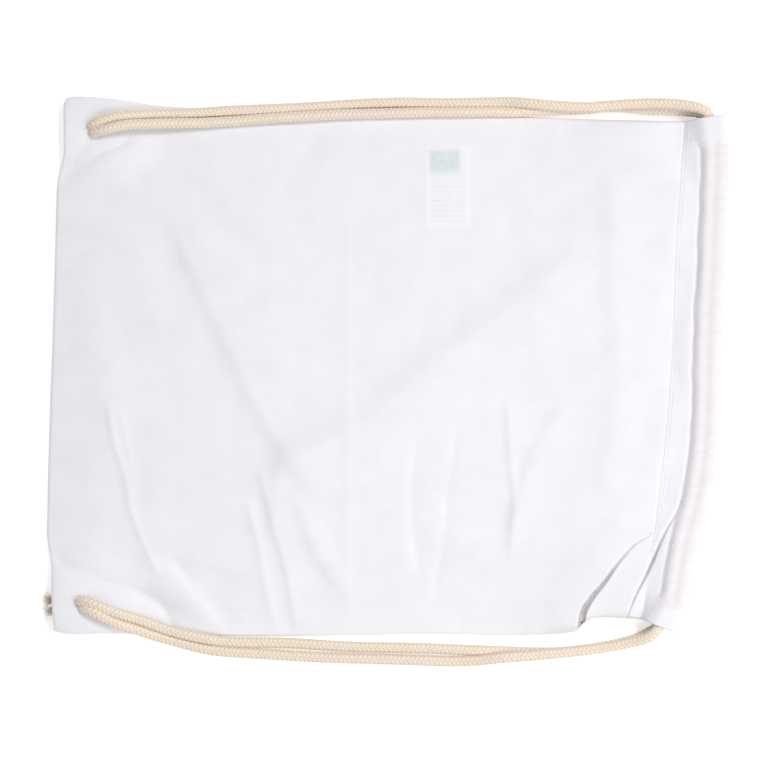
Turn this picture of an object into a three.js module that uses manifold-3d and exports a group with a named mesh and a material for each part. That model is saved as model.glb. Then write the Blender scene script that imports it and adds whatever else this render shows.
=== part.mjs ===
// A cotton drawstring gym bag lying flat on a table, its mouth towards +X and its bottom fold towards -X.
// One cloth is folded at the bottom and sewn up both sides, and its mouth is hemmed into two casings.
// Each cord goes through one bottom corner, along that side, through both casings and back, and is knotted
// under the corner. Millimetres, +Z up, with the origin on the table under the middle of the cloth.

import * as THREE from 'three';
import { LoftGeometry } from 'three/addons/geometries/LoftGeometry.js';
import { mergeVertices } from 'three/addons/utils/BufferGeometryUtils.js';
import Module from 'manifold-3d';

// Cloth, cord and clearances
const CLOTH = 1.0; // wall of cloth
const GAP = 0.3; // between pieces that touch
const CORD = 6.5; // diameter of the braided cord
const SEAM = 2.2; // closed edge of the pouch, from the outside to the hollow

// Heights of the pouch above the table
const EDGE_HEIGHT = 2.7; // at the sewn sides and the bottom fold
const MOUTH_EDGE_HEIGHT = 8.0; // at the sides of the mouth, where the casings spread them
const MOUTH_HEIGHT = 14.6; // at the middle of the mouth
const PUFF = 8.5; // rise of the front above its edges
const PUFF_REACH = 45; // how far in from an edge the front takes to rise
const MOUTH_RISE_START = 0.72; // share of the length where the front starts to rise to the mouth

// Bottom corners, held up by the knots under them
const KNOT_HEIGHT = 8.4;
const CORNER_LIFT = 9.3; // of the back, over the knot
const KNOT_RADIUS = 13.0;
const KNOT_ROUNDING = 2.5; // of the knot's rim, below and above
const KNOT_WELL_RADIUS = 7.7; // the middle, where both ends of the cord go in
const KNOT_WELL_HEIGHT = 3.5;
const KNOT_WELL_ROUNDING = 1.3;
const TAIL_RADIUS = 3.0;
const CORNER_REACH = 36; // how far a knot lifts the cloth around it
const PINCH_REACH = 40; // how far a hole holds front and back together
const HOLE_ALONG = 17; // hole, along the cord
const HOLE_ACROSS = 15.5; // hole, across both strands of the cord
const HOLE_CUT = 34; // height of the cut, through back and front

// Casings, measured inwards from the edge of the mouth
const CASING_RADIUS = 4.6; // rounded edge, and half of the height of the tunnel's cloth
const CASING_TUBE = 19; // width of the stretch that holds the cords
const CASING_STATIONS = 16;
const TUNNEL_TIP = 0.3; // half of the height of the tunnel's narrow end
const HEM_HALF = 1.05; // half of the hem's two layers
const MOUTH_GAP = 6; // between the casings, one above the other
const BACK_CASING_HEIGHT = CASING_RADIUS;
const FRONT_CASING_HEIGHT = 3 * CASING_RADIUS + MOUTH_GAP;
const NOTCH_START = -1.5; // from the start of a cord's turn
const NOTCH_LENGTH = 40;
const NOTCH_CLEARANCE = 1.2; // wider than the cord

// Facets
const ROWS = 29; // from the bottom fold to the mouth
const COLUMNS = 24; // from the upper to the lower side
const CORD_SIDES = 8;
const CORD_STEPS = 80;
const KNOT_SIDES = 16;
const TAIL_SIDES = 8;
const HOLE_SEGMENTS = 8;
const SAME_PLACE = 1e-4; // points closer than this are one
const TURN_ANGLES = [45, 90, 135]; // of the rows in a cord's turn, in degrees

// Care label, as cells of the front between the bottom fold and the mouth and between the sides
const LABEL = { firstRow: 17, lastRow: 19, firstColumn: 1, lastColumn: 5 };

// Outline of the pouch, seen from above
const FOLD_EDGE = [
  { x: -222.5, y: 185.9 },
  { x: -223.2, y: 166 },
  { x: -223.4, y: 146 },
  { x: -227.6, y: 127 },
  { x: -229.2, y: 87 },
  { x: -231, y: 25 },
  { x: -233.2, y: -37 },
  { x: -234.6, y: -92 },
  { x: -234.7, y: -120 },
  { x: -232, y: -135 },
  { x: -231.7, y: -161 },
  { x: -230, y: -182 },
];
const UPPER_SIDE = [
  { x: -222.5, y: 185.9 },
  { x: -204, y: 185.6 },
  { x: -178, y: 182.9 },
  { x: -157, y: 179.8 },
  { x: -60, y: 176.5 },
  { x: 29, y: 174.2 },
  { x: 78, y: 172.8 },
  { x: 129, y: 170.8 },
  { x: 204.4, y: 169 },
];
const LOWER_SIDE = [
  { x: -230, y: -182 },
  { x: -220, y: -184.4 },
  { x: -200, y: -184 },
  { x: -110, y: -185.9 },
  { x: -33, y: -185.6 },
  { x: 27, y: -184.6 },
  { x: 100, y: -185.2 },
  { x: 129, y: -182.4 },
  { x: 139, y: -174.4 },
  { x: 174.8, y: -174 },
];
const STITCH_LINE = [
  { x: 204.4, y: 169 },
  { x: 201, y: 128 },
  { x: 198.2, y: 87 },
  { x: 196.5, y: 39 },
  { x: 195, y: 4 },
  { x: 191.3, y: -41 },
  { x: 186.5, y: -86 },
  { x: 181, y: -130 },
  { x: 174.8, y: -174 },
];
const MOUTH_EDGE = [
  { x: 233.2, y: 173.6 },
  { x: 234.7, y: 149 },
  { x: 234.1, y: 124 },
  { x: 231.3, y: 58 },
  { x: 229.3, y: 18 },
  { x: 228.4, y: -24 },
  { x: 226.5, y: -58 },
  { x: 221.9, y: -90 },
  { x: 213, y: -123 },
  { x: 206.6, y: -158 },
  { x: 203, y: -173.5 },
  { x: 198.5, y: -183.8 },
];

// Holes in the bottom corners, with the way the cord leaves and the knot's tails as directions from +X
const HOLES = {
  upper: {
    x: -201.3, y: 164.2, cordAngle: 9,
    tails: [{ angle: -98, reach: 24 }, { angle: -76, reach: 23 }],
  },
  lower: {
    x: -210.4, y: -163, cordAngle: -19,
    tails: [{ angle: 175, reach: 26.5 }, { angle: 195, reach: 26 }],
  },
};

// Folds of the front, each along a line. Left and right are seen from its start to its end.
const FOLDS = [
  { place: 'pleat at the lower side', fromX: 180, fromY: -116, toX: 130, toY: -182,
    riseFrom: 0.8, riseTo: 5, left: 5, right: 28 },
  { place: 'pleat at the casing', fromX: 190, fromY: -100, toX: 164, toY: -172,
    riseFrom: 0.8, riseTo: 3.5, left: 5, right: 18 },
  { place: 'crease of the lower corner', fromX: -225, fromY: -127, toX: -120, toY: -178,
    riseFrom: 2, riseTo: 2.5, left: 14, right: 9 },
  { place: 'crease of the upper corner', fromX: -222, fromY: 128, toX: -184, toY: 155,
    riseFrom: 2, riseTo: 1, left: 9, right: 14 },
  { place: 'left arm of the middle fold', fromX: -136, fromY: 77, toX: -66, toY: -60,
    riseFrom: 2.4, riseTo: 2.8, left: 46, right: 10 },
  { place: 'right arm of the middle fold', fromX: 112, fromY: 54, toX: -50, toY: -66,
    riseFrom: 2.2, riseTo: 2.4, left: 42, right: 13 },
  { place: 'fold right of the middle', fromX: 83, fromY: -36, toX: 86, toY: -118,
    riseFrom: 1.4, riseTo: 2, left: 12, right: 10 },
  { place: 'ridge above the bottom fold', fromX: -188, fromY: -35, toX: -165, toY: -125,
    riseFrom: 1.6, riseTo: 2.8, left: 11, right: 11 },
  { place: 'ridge at the lower side', fromX: -80, fromY: -98, toX: -68, toY: -172,
    riseFrom: 2, riseTo: 2.8, left: 11, right: 11 },
  { place: 'ridge below the mouth', fromX: 152, fromY: 60, toX: 152, toY: -90,
    riseFrom: 2, riseTo: 2.4, left: 12, right: 12 },
];

// Routes of the cords. Both strands start in the knot and end at a casing: the outer one at the front
// casing and the inner one at the back casing. The lane is their way through both, as far as the turn.
const UPPER_CORD = {
  outer: [
    { x: -204.4, y: 165, z: 5 },
    { x: -203.2, y: 166.2, z: 11.8 },
    { x: -197.6, y: 169.4, z: 15.3 },
    { x: -188.5, y: 172.2, z: 15.9 },
    { x: -178, y: 173.3, z: 14.6 },
    { x: -164, y: 174.1, z: 11.3 },
    { x: -138, y: 174.4, z: 7.6 },
    { x: -105, y: 176.3, z: 6.9 },
    { x: -80, y: 177.3, z: 6.2 },
    { x: -55, y: 178.6, z: 5.2 },
    { x: -22, y: 180.8, z: 3.7 },
    { x: 8, y: 181.9, z: 3.6 },
    { x: 40, y: 181.5, z: 3.6 },
    { x: 60, y: 181.8, z: 3.7 },
    { x: 72, y: 182.1, z: 4 },
    { x: 84, y: 182.3, z: 5.4 },
    { x: 94, y: 181.6, z: 8 },
    { x: 112, y: 179.8, z: 9.8 },
    { x: 138, y: 178.5, z: 10.2 },
    { x: 152, y: 179.6, z: 10.6 },
    { x: 178, y: 181.1, z: 11.8 },
    { x: 197.5, y: 180.6, z: 14.6 },
    { x: 207, y: 179.3, z: 16.8 },
    { x: 214, y: 177.6, z: 18.6 },
    { x: 219, y: 174.6, z: 19.6 },
    { x: 221.4, y: 169.5, z: 19.8 },
    { x: 224, y: 158, z: 19.8 },
  ],
  lane: [
    { x: 228, y: 145 },
    { x: 228.5, y: 125 },
    { x: 225.5, y: 60 },
    { x: 223.2, y: 4 },
    { x: 221.5, y: -48 },
    { x: 214.7, y: -95 },
    { x: 205.7, y: -130 },
    { x: 200.2, y: -160 },
    { x: 197.1, y: -171 },
  ],
  inner: [
    { x: -199, y: 160.9, z: 5 },
    { x: -199, y: 161, z: 12.3 },
    { x: -194, y: 162.1, z: 16 },
    { x: -182, y: 164.6, z: 17 },
    { x: -164, y: 166.2, z: 15.2 },
    { x: -145, y: 167, z: 11.4 },
    { x: -130, y: 167.7, z: 9.2 },
    { x: -102, y: 169.4, z: 8 },
    { x: -80, y: 171.1, z: 8.4 },
    { x: -55, y: 172.4, z: 8 },
    { x: -33, y: 173.6, z: 7.1 },
    { x: 4, y: 174.6, z: 6.6 },
    { x: 29, y: 175.2, z: 6.3 },
    { x: 55, y: 175.4, z: 5.9 },
    { x: 72, y: 175.6, z: 5.3 },
    { x: 84, y: 175.4, z: 4.5 },
    { x: 94, y: 175.6, z: 3.6 },
    { x: 110, y: 176.2, z: 3.5 },
    { x: 138, y: 177.4, z: 3.5 },
    { x: 150, y: 178.6, z: 3.5 },
    { x: 163, y: 178.5, z: 3.5 },
    { x: 180, y: 177, z: 3.5 },
    { x: 197.5, y: 176.6, z: 3.7 },
    { x: 207, y: 175.9, z: 4.3 },
    { x: 214.3, y: 174.9, z: 4.6 },
    { x: 219.3, y: 172.6, z: 4.6 },
    { x: 221.6, y: 167.5, z: 4.6 },
    { x: 224, y: 158, z: 4.6 },
  ],
};
const LOWER_CORD = {
  outer: [
    { x: -209.5, y: -167, z: 5 },
    { x: -208.7, y: -167.2, z: 13 },
    { x: -202.5, y: -169.8, z: 16.3 },
    { x: -188, y: -176.2, z: 13.7 },
    { x: -171, y: -182.2, z: 8 },
    { x: -160, y: -187, z: 5.7 },
    { x: -146, y: -191.2, z: 3.6 },
    { x: -122, y: -196.2, z: 3.5 },
    { x: -88, y: -198.1, z: 3.5 },
    { x: -50, y: -200.4, z: 3.5 },
    { x: 11, y: -202.2, z: 3.5 },
    { x: 44, y: -203.2, z: 3.5 },
    { x: 62, y: -202.6, z: 5.8 },
    { x: 77.5, y: -200.8, z: 9.4 },
    { x: 100, y: -199, z: 10.4 },
    { x: 146, y: -194, z: 11 },
    { x: 169, y: -189.4, z: 15 },
    { x: 179, y: -186.5, z: 18.6 },
    { x: 185, y: -181.3, z: 19.8 },
    { x: 188.3, y: -173.5, z: 19.8 },
  ],
  lane: [
    { x: 192.4, y: -162.4 },
    { x: 195.7, y: -145 },
    { x: 202.6, y: -110.5 },
    { x: 210.5, y: -75 },
    { x: 214.6, y: -40 },
    { x: 216, y: 12 },
    { x: 218.4, y: 65 },
    { x: 221.2, y: 115 },
    { x: 221.1, y: 136.5 },
  ],
  inner: [
    { x: -212.6, y: -160.8, z: 5 },
    { x: -211.5, y: -160.4, z: 12.4 },
    { x: -204.5, y: -161.8, z: 16.1 },
    { x: -188, y: -167.4, z: 14.4 },
    { x: -171, y: -173.8, z: 9.9 },
    { x: -152, y: -180.7, z: 7.6 },
    { x: -126, y: -187, z: 6.3 },
    { x: -110, y: -189.8, z: 3.9 },
    { x: -67, y: -190.8, z: 3.5 },
    { x: -26, y: -193.2, z: 3.5 },
    { x: 27, y: -194.3, z: 3.5 },
    { x: 68, y: -196, z: 3.5 },
    { x: 117, y: -197, z: 3.5 },
    { x: 146, y: -193.6, z: 3.5 },
    { x: 169, y: -188.4, z: 3.7 },
    { x: 178, y: -184.4, z: 4.4 },
    { x: 185, y: -180, z: 4.6 },
    { x: 188.4, y: -172, z: 4.6 },
  ],
};

const COLOURS = { cloth: 0xf0eff4, cord: 0xe5d7c7, label: 0xf6f6f8 };

const wasm = await Module();
wasm.setup();

// A closed mesh as a solid that can be joined and cut.
function toSolid(geometry) {
  const bare = new THREE.BufferGeometry();
  bare.setAttribute('position', geometry.getAttribute('position'));
  bare.setIndex(geometry.getIndex());
  const merged = mergeVertices(bare, SAME_PLACE);
  const vertProperties = new Float32Array(merged.getAttribute('position').array);
  const triVerts = new Uint32Array(merged.getIndex().array);
  return new wasm.Manifold(new wasm.Mesh({ numProp: 3, vertProperties, triVerts }));
}

function toGeometry(solid) {
  const mesh = solid.getMesh();
  const geometry = new THREE.BufferGeometry();
  geometry.setAttribute('position', new THREE.BufferAttribute(mesh.vertProperties, 3));
  geometry.setIndex(new THREE.BufferAttribute(mesh.triVerts, 1));
  geometry.computeVertexNormals();
  return geometry;
}

// A smooth line through the rows of a table.
function lineThrough(rows) {
  return new THREE.CatmullRomCurve3(rows.map((row) => new THREE.Vector3(row.x, row.y, row.z ?? 0)));
}

const foldEdge = lineThrough(FOLD_EDGE);
const upperSide = lineThrough(UPPER_SIDE);
const lowerSide = lineThrough(LOWER_SIDE);
const stitchLine = lineThrough(STITCH_LINE);
const mouthEdge = lineThrough(MOUTH_EDGE);
const pouchLength = upperSide.getLength();
const pouchWidth = foldEdge.getLength();

// The place in the outline at a share u of the way to the mouth and a share v of the way to the lower side.
function planAt(u, v) {
  const between = (start, end, share) => start.clone().lerp(end, share);
  const lengthwise = between(upperSide.getPointAt(u), lowerSide.getPointAt(u), v);
  const crosswise = between(foldEdge.getPointAt(v), stitchLine.getPointAt(v), u);
  const bottomCorners = between(foldEdge.getPointAt(0), foldEdge.getPointAt(1), v);
  const mouthCorners = between(stitchLine.getPointAt(0), stitchLine.getPointAt(1), v);
  return lengthwise.add(crosswise).sub(between(bottomCorners, mouthCorners, u));
}

// 1 over a hole in a bottom corner, falling to 0 past the reach.
function nearHole(point, reach) {
  const shares = Object.values(HOLES).map((hole) => {
    const distance = Math.hypot(point.x - hole.x, point.y - hole.y);
    return Math.exp(-((distance / reach) ** 4));
  });
  return Math.max(...shares);
}

// How far one fold lifts the front at a point.
function foldRise(fold, point) {
  const start = new THREE.Vector2(fold.fromX, fold.fromY);
  const along = new THREE.Vector2(fold.toX, fold.toY).sub(start);
  const offset = new THREE.Vector2(point.x, point.y).sub(start);
  const share = THREE.MathUtils.clamp(offset.dot(along) / along.lengthSq(), 0, 1);
  const distance = offset.clone().addScaledVector(along, -share).length();
  const reach = along.cross(offset) > 0 ? fold.left : fold.right;
  const rise = THREE.MathUtils.lerp(fold.riseFrom, fold.riseTo, share);
  return rise * Math.exp(-((distance / reach) ** 2));
}

// 0 at a closed edge, rising to 1 away from it.
function awayFrom(distance) {
  return 1 - Math.exp(-distance / PUFF_REACH);
}

// Height of the front along the mouth's stitch line.
function mouthHeight(v) {
  const middle = awayFrom(v * pouchWidth) * awayFrom((1 - v) * pouchWidth);
  return THREE.MathUtils.lerp(MOUTH_EDGE_HEIGHT, MOUTH_HEIGHT, middle);
}

function backHeight(point) {
  return CORNER_LIFT * nearHole(point, CORNER_REACH);
}

function frontHeight(u, v, point) {
  const sides = awayFrom(v * pouchWidth) * awayFrom((1 - v) * pouchWidth);
  const inside = sides * awayFrom(u * pouchLength);
  const folds = FOLDS.reduce((sum, fold) => sum + foldRise(fold, point), 0);
  const loose = inside * (1 - nearHole(point, PINCH_REACH));
  const lying = backHeight(point) + EDGE_HEIGHT + loose * (PUFF + folds);
  const toMouth = THREE.MathUtils.smoothstep(u, MOUTH_RISE_START, 1);
  return THREE.MathUtils.lerp(lying, mouthHeight(v) + inside * folds * (1 - toMouth), toMouth);
}

const shares = (count) => Array.from({ length: count + 1 }, (_, index) => index / count);

// A point of the front, outside or on its inner face.
function frontPoint(row, column, isInner) {
  const lengthInset = isInner ? SEAM / pouchLength : 0;
  const sideInset = isInner ? SEAM / pouchWidth : 0;
  const u = THREE.MathUtils.lerp(lengthInset, 1, row);
  const v = THREE.MathUtils.lerp(sideInset, 1 - sideInset, column);
  const point = planAt(u, v);
  point.z = frontHeight(u, v, point) - (isInner ? CLOTH : 0);
  return point;
}

function backPoint(row, column, isInner) {
  const point = frontPoint(row, column, isInner);
  point.z = backHeight(point) + (isInner ? CLOTH : 0);
  return point;
}

// A ring around the pouch: over the front to the lower side, and back under it.
function pouchRing(row, isInner) {
  const front = shares(COLUMNS).map((column) => frontPoint(row, column, isInner));
  const back = shares(COLUMNS).map((column) => backPoint(row, column, isInner));
  return [...front, ...back.toReversed()];
}

// The flat ring that closes the bottom fold, halfway between front and back.
function foldRing(isInner) {
  const middle = shares(COLUMNS).map((column) => {
    const point = frontPoint(0, column, isInner);
    const under = backPoint(0, column, isInner);
    return point.lerp(under, 0.5);
  });
  return [...middle, ...middle.toReversed()];
}

// An upright oval plug in the place of a hole.
function holePlug(hole) {
  const outline = new THREE.Shape();
  outline.absellipse(0, 0, HOLE_ALONG / 2, HOLE_ACROSS / 2, 0, 2 * Math.PI);
  const settings = { depth: HOLE_CUT, bevelEnabled: false, curveSegments: HOLE_SEGMENTS };
  const plug = new THREE.ExtrudeGeometry(outline, settings);
  plug.rotateZ(THREE.MathUtils.degToRad(hole.cordAngle));
  plug.translate(hole.x, hole.y, 0);
  return plug;
}

function makePouch() {
  const rows = shares(ROWS);
  const outside = rows.map((row) => pouchRing(row, false));
  const inside = rows.toReversed().map((row) => pouchRing(row, true));
  const shell = new LoftGeometry([foldRing(false), ...outside, ...inside, foldRing(true)]);
  let solid = toSolid(shell);
  for (const hole of Object.values(HOLES)) {
    solid = solid.subtract(toSolid(holePlug(hole)));
  }
  return toGeometry(solid);
}

// The upper half of a casing's section, from the edge of the mouth inwards: its outside and its tunnel.
function casingProfile(width) {
  const radius = CASING_RADIUS;
  const slant = Math.SQRT1_2;
  const bore = radius - CLOTH;
  const flatEnd = CASING_TUBE - radius;
  const outside = [
    { inward: radius * (1 - slant), half: radius * slant },
    { inward: radius, half: radius },
    { inward: CASING_TUBE / 2, half: radius },
    { inward: flatEnd, half: radius },
    { inward: flatEnd + radius * slant, half: radius * slant },
    { inward: CASING_TUBE + CLOTH, half: HEM_HALF },
    { inward: width, half: HEM_HALF },
  ];
  const tunnel = [
    { inward: radius - bore * slant, half: bore * slant },
    { inward: radius, half: bore },
    { inward: CASING_TUBE / 2, half: bore },
    { inward: flatEnd, half: bore },
    { inward: flatEnd + bore * slant, half: bore * slant },
    { inward: flatEnd + bore - TUNNEL_TIP, half: 3 * TUNNEL_TIP },
    { inward: flatEnd + bore, half: TUNNEL_TIP },
  ];
  return { outside, tunnel };
}

// A ring around a casing at a share of its length: over its top to the stitch line, and back under it.
function casingRing(share, height, stitchHeight, isTunnel) {
  const edge = mouthEdge.getPointAt(share);
  const across = stitchLine.getPointAt(share).sub(edge);
  const width = across.length() - GAP;
  across.normalize();
  const profile = casingProfile(width);
  const half = isTunnel ? profile.tunnel : profile.outside;
  const first = isTunnel ? { inward: CLOTH, half: 0 } : { inward: 0, half: 0 };
  const under = half.map((row) => ({ inward: row.inward, half: -row.half })).toReversed();
  return [first, ...half, ...under].map((row) => {
    const slope = THREE.MathUtils.clamp((row.inward - CASING_TUBE) / (width - CASING_TUBE), 0, 1);
    const point = edge.clone().addScaledVector(across, row.inward);
    point.z = THREE.MathUtils.lerp(height, stitchHeight(share), slope) + row.half;
    return point;
  });
}

// Where a cord turns from the front casing to the back one: the end of its lane, and the way it heads.
function turnOf(cord) {
  const end = new THREE.Vector2(cord.lane.at(-1).x, cord.lane.at(-1).y);
  const before = new THREE.Vector2(cord.lane.at(-2).x, cord.lane.at(-2).y);
  return { end, heading: end.clone().sub(before).normalize() };
}

// A notch in the facing walls of both casings, from the turn of a cord out through their ends.
function turnNotch(cord) {
  const { end, heading } = turnOf(cord);
  const height = FRONT_CASING_HEIGHT - BACK_CASING_HEIGHT;
  const middle = end.clone().addScaledVector(heading, NOTCH_START + NOTCH_LENGTH / 2);
  const notch = new THREE.BoxGeometry(NOTCH_LENGTH, CORD + NOTCH_CLEARANCE, height);
  notch.rotateZ(heading.angle());
  notch.translate(middle.x, middle.y, BACK_CASING_HEIGHT + height / 2);
  return notch;
}

function makeCasing(height, stitchHeight) {
  const stations = shares(CASING_STATIONS);
  const outside = stations.map((share) => casingRing(share, height, stitchHeight, false));
  const tunnel = stations.toReversed().map((share) => casingRing(share, height, stitchHeight, true));
  let solid = toSolid(new LoftGeometry([...outside, ...tunnel, outside[0]]));
  for (const cord of [UPPER_CORD, LOWER_CORD]) {
    solid = solid.subtract(toSolid(turnNotch(cord)));
  }
  return toGeometry(solid);
}

// A curve whose steps follow its points, so that close points make a fine bend.
class Route extends THREE.CatmullRomCurve3 {
  getUtoTmapping(u) {
    return u;
  }
}

// The half circle in which a cord goes down from the front casing to the back one.
function turnPoints(cord) {
  const { end, heading } = turnOf(cord);
  const radius = (FRONT_CASING_HEIGHT - BACK_CASING_HEIGHT) / 2;
  return TURN_ANGLES.map((degrees) => {
    const angle = THREE.MathUtils.degToRad(degrees);
    const place = end.clone().addScaledVector(heading, radius * Math.sin(angle));
    return new THREE.Vector3(place.x, place.y, BACK_CASING_HEIGHT + radius * (1 + Math.cos(angle)));
  });
}

function makeCord(cord) {
  const atHeight = (rows, height) => rows.map((row) => new THREE.Vector3(row.x, row.y, row.z ?? height));
  const route = new Route([
    ...atHeight(cord.outer),
    ...atHeight(cord.lane, FRONT_CASING_HEIGHT),
    ...turnPoints(cord),
    ...atHeight(cord.lane, BACK_CASING_HEIGHT).toReversed(),
    ...atHeight(cord.inner).toReversed(),
  ]);
  const corners = shares(CORD_SIDES).slice(1).map((share) => {
    const angle = 2 * Math.PI * share;
    return new THREE.Vector2(Math.cos(angle), Math.sin(angle)).multiplyScalar(CORD / 2);
  });
  return new THREE.ExtrudeGeometry(new THREE.Shape(corners), { steps: CORD_STEPS, extrudePath: route });
}

// A knot drawn tight: a low ring round the well that the cord goes into, with both cut ends beside it.
function makeKnot(hole) {
  const profile = [
    { radius: 0, height: 0 },
    { radius: KNOT_RADIUS - KNOT_ROUNDING, height: 0 },
    { radius: KNOT_RADIUS, height: KNOT_ROUNDING },
    { radius: KNOT_RADIUS, height: KNOT_HEIGHT - KNOT_ROUNDING },
    { radius: KNOT_RADIUS - KNOT_ROUNDING, height: KNOT_HEIGHT },
    { radius: KNOT_WELL_RADIUS + KNOT_WELL_ROUNDING, height: KNOT_HEIGHT },
    { radius: KNOT_WELL_RADIUS, height: KNOT_HEIGHT - KNOT_WELL_ROUNDING },
    { radius: KNOT_WELL_RADIUS, height: KNOT_WELL_HEIGHT },
    { radius: 0, height: KNOT_WELL_HEIGHT },
  ];
  const outline = profile.map((row) => new THREE.Vector2(row.radius, row.height));
  const lump = new THREE.LatheGeometry(outline, KNOT_SIDES);
  lump.rotateX(Math.PI / 2);
  let solid = toSolid(lump);
  for (const tail of hole.tails) {
    const inside = (KNOT_WELL_RADIUS + KNOT_RADIUS) / 2;
    const end = new THREE.CylinderGeometry(TAIL_RADIUS, TAIL_RADIUS, tail.reach - inside, TAIL_SIDES);
    end.rotateZ(Math.PI / 2);
    end.translate((tail.reach + inside) / 2, 0, TAIL_RADIUS + GAP);
    end.rotateZ(THREE.MathUtils.degToRad(tail.angle));
    solid = solid.add(toSolid(end));
  }
  return toGeometry(solid).translate(hole.x, hole.y, 0);
}

// The label lies against the inside of the front.
function makeLabel() {
  const rows = shares(ROWS).slice(LABEL.firstRow, LABEL.lastRow + 1);
  const columns = shares(COLUMNS).slice(LABEL.firstColumn, LABEL.lastColumn + 1);
  const lowered = (row, depth) => columns.map((column) => {
    const point = frontPoint(row, column, true);
    point.z -= depth;
    return point;
  });
  const middle = (row) => lowered(row, GAP + CLOTH / 2);
  const closed = (row) => [...middle(row), ...middle(row).toReversed()];
  const open = (row) => [...lowered(row, GAP), ...lowered(row, GAP + CLOTH).toReversed()];
  return new LoftGeometry([closed(rows[0]), ...rows.map(open), closed(rows.at(-1))]);
}

const group = new THREE.Group();
const cloth = new THREE.MeshStandardMaterial({ color: COLOURS.cloth, roughness: 0.9, metalness: 0 });
const braid = new THREE.MeshStandardMaterial({ color: COLOURS.cord, roughness: 0.85, metalness: 0 });
const tape = new THREE.MeshStandardMaterial({ color: COLOURS.label, roughness: 0.6, metalness: 0 });

function addPiece(name, geometry, material) {
  const mesh = new THREE.Mesh(geometry, material);
  mesh.name = name;
  group.add(mesh);
}

addPiece('pouch', makePouch(), cloth);
addPiece('front_casing', makeCasing(FRONT_CASING_HEIGHT, (share) => mouthHeight(share) - CLOTH / 2), cloth);
addPiece('back_casing', makeCasing(BACK_CASING_HEIGHT, () => HEM_HALF), cloth);
addPiece('upper_cord', makeCord(UPPER_CORD), braid);
addPiece('lower_cord', makeCord(LOWER_CORD), braid);
addPiece('upper_knot', makeKnot(HOLES.upper), braid);
addPiece('lower_knot', makeKnot(HOLES.lower), braid);
addPiece('care_label', makeLabel(), tape);

export default group;
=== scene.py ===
import math

import bpy
import numpy as np
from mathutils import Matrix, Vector, noise
from mathutils.bvhtree import BVHTree


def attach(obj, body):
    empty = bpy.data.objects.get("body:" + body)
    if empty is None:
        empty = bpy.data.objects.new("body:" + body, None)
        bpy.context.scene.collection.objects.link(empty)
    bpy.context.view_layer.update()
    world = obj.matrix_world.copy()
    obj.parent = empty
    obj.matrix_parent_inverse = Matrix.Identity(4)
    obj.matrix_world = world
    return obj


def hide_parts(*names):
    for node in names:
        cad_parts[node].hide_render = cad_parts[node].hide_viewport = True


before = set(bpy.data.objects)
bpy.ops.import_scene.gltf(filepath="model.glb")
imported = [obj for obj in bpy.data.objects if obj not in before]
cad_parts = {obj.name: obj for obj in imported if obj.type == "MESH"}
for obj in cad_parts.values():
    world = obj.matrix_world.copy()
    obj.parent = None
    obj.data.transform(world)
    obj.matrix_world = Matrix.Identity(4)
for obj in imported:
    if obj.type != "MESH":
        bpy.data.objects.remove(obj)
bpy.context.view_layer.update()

MM = 0.001  # sizes are in millimetres where nothing else is said
BODY = "root"

# Picture: a square view straight down on the bag, in metres
FIELD = 0.52992
VIEW_CENTRE = (-0.0026, -0.0121)
CAMERA_HEIGHT = 5.0
SENSOR = 36.0  # in millimetres

# Light and floor, in metres and watts
WORLD_LIGHT = 0.42
FLOOR_GLOW = 0.35
FLOOR_REACH = 4.0
LIGHTS = [  # name, place, size and power
    ("key", (1.1, 1.23, 2.74), 1.0, 38),
    ("right fill", (0.85, -0.45, 1.0), 0.9, 6.5),
    ("left fill", (-0.7, -0.9, 1.3), 0.9, 3.0),
]

# Textures, in metres
WEAVE_PITCH = 0.00055
LINE_PITCH = 0.0034
BAND_SCALE = 20  # Blender's own, of its wave texture

# Cloth and cord
CLOTH = 0.5
CORD_RADIUS = 3.65
STRANDS = 6  # of the braid, each way round
BRAID_PITCH = 3.0
STRAND_ROUND = 0.65
STRAND_LIFT = 0.3
STRAND_SINK = 0.85  # of a strand's height, within the radius
CORD_SIDES = 36
CORD_STEP = 0.66
FEWEST_STEPS = 4
STEEP = 0.9  # upward share of a direction
LOWEST_CORD = 3.83  # its middle, on the floor
PATH_STEP = 1.5

# Knots, and the fibres at their tails' ends
KNOT_SPREAD = 10.0
KNOT_RADIUS = 2.9
KNOT_HEIGHT = 4.45
KNOT_LIFT = 1.4
KNOT_POINTS = 160
TAIL_RADIUS = 2.7
TAIL_HEIGHT = 3.2
TAIL_START = 7.0
TAIL_POINTS = 12
TUFT_REACH = 7.5
TUFT_RADIUS = 2.1
TUFT_OVERHANG = 5.5  # beyond the tail's braid
FIBRE = {
    "count": 110, "points": 5, "sides": 3, "radius": 0.24, "root": 1.15, "lowest": 0.35,
    "spread": 0.28, "flatness": 0.6, "bend": 0.9, "lengths": (0.55, 1.05), "crests": (0.5, 0.95),
}

# Heights of the pouch above the floor, and how far they reach
EDGE_HEIGHT = 2.7
MOUTH_EDGE_HEIGHT = 12.0
MOUTH_HEIGHT = 17.8
MOUTH_REACH = 18.0
MOUTH_RISE_START = 0.72  # of the way to the mouth
PUFF = 8.5
PUFF_REACH = 45.0
EDGE_ROUND = 1.8
CORNER_LIFT = 9.3
CORNER_REACH = 36.0
PINCH_REACH = 40.0
HOLE_FALL = 4  # how sharply what surrounds a hole ends
HOLE_ALONG = 3.2
HOLE_ACROSS = 3.6
HOLE_RIM = (0.84, 1.2)  # shares of it between which points move to its edge
SEAM_ALLOWANCE = 17.0
SEAM_SOFT = 1.2
SEAM_RISE = 0.35
SEAM_TINT = 0.25
SIDE_FADE = 6.0  # from a side to its whole relief
PUCKER_REACH = 9.0
GATHER_REACH = 14.0
STITCH_GROOVE = 0.15
GROOVE_REACH = 2.0
BACK_LIFT = 0.05

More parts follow.
